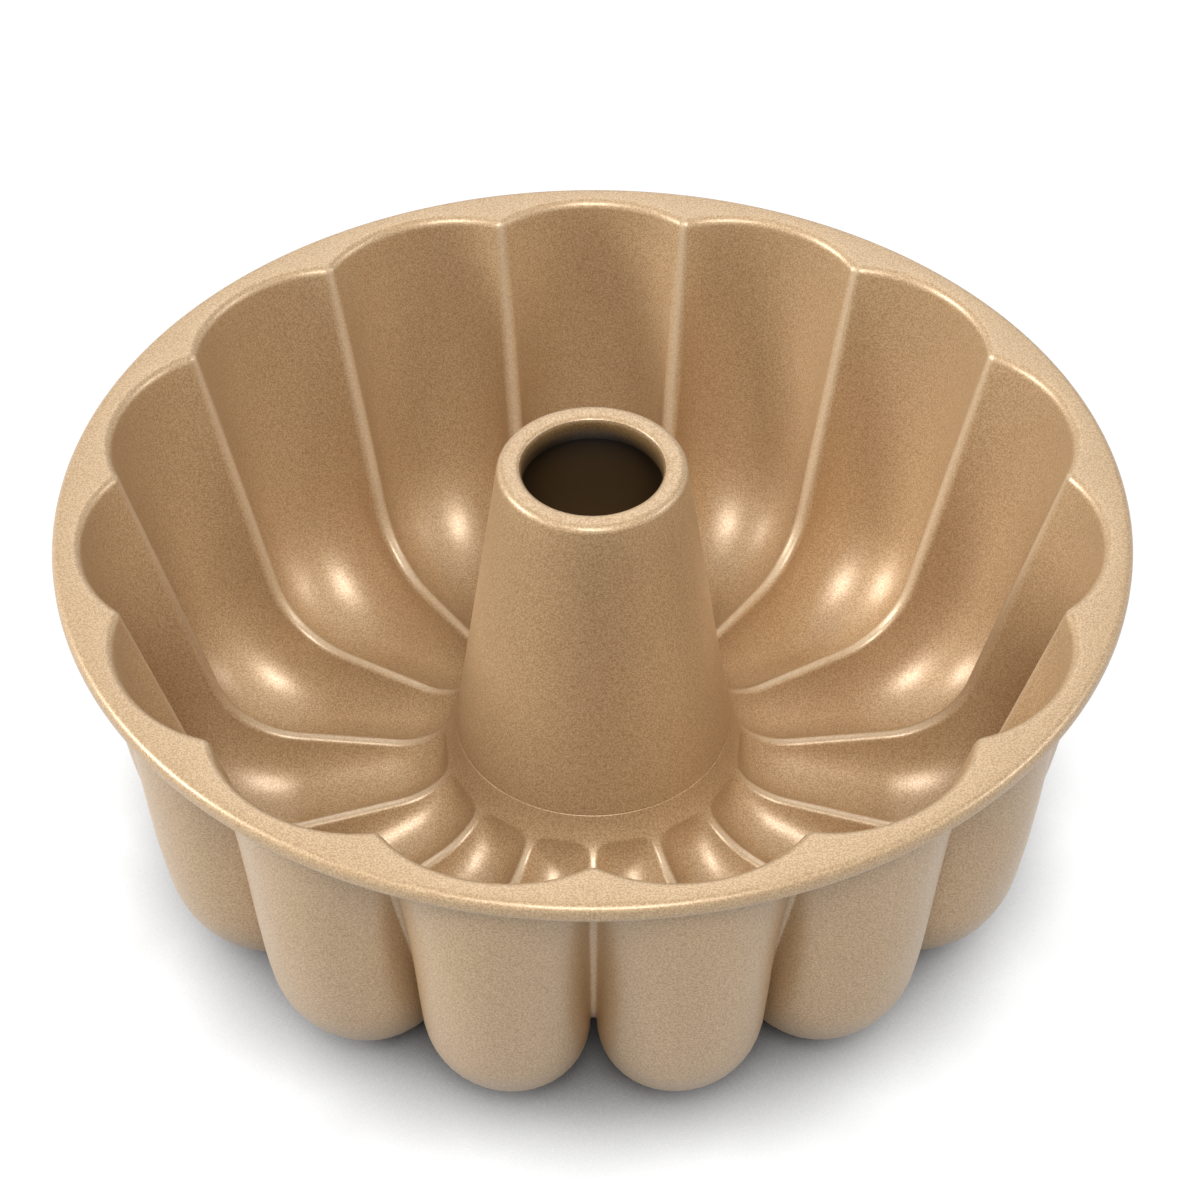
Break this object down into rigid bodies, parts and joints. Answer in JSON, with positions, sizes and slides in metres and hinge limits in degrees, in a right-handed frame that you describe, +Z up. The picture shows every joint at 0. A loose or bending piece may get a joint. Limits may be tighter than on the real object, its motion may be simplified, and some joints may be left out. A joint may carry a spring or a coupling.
{
  "type": "ring cake pan",
  "caption": "Deep fluted ring cake pan with a tapered open centre tube, a flat rim flange with a rolled wired edge, and a champagne-coloured non-stick coat.",
  "frame": {"origin": "centre of the pan on the plane that it stands on, under the centre tube", "axes": "+Z up along the tube, +Y through the middle of a flute, -Y through a ridge and towards the picture's camera"},
  "size_m": [0.26, 0.2599, 0.1146],
  "materials": {
    "coated_sheet": "satin champagne non-stick coat with a fine grain",
    "wire_steel": "bare drawn wire"
  },
  "bodies": {
    "root": {"fluted_mould": "coated_sheet", "centre_tube": "coated_sheet", "rim_wire": "wire_steel"}
  },
  "joints": []
}
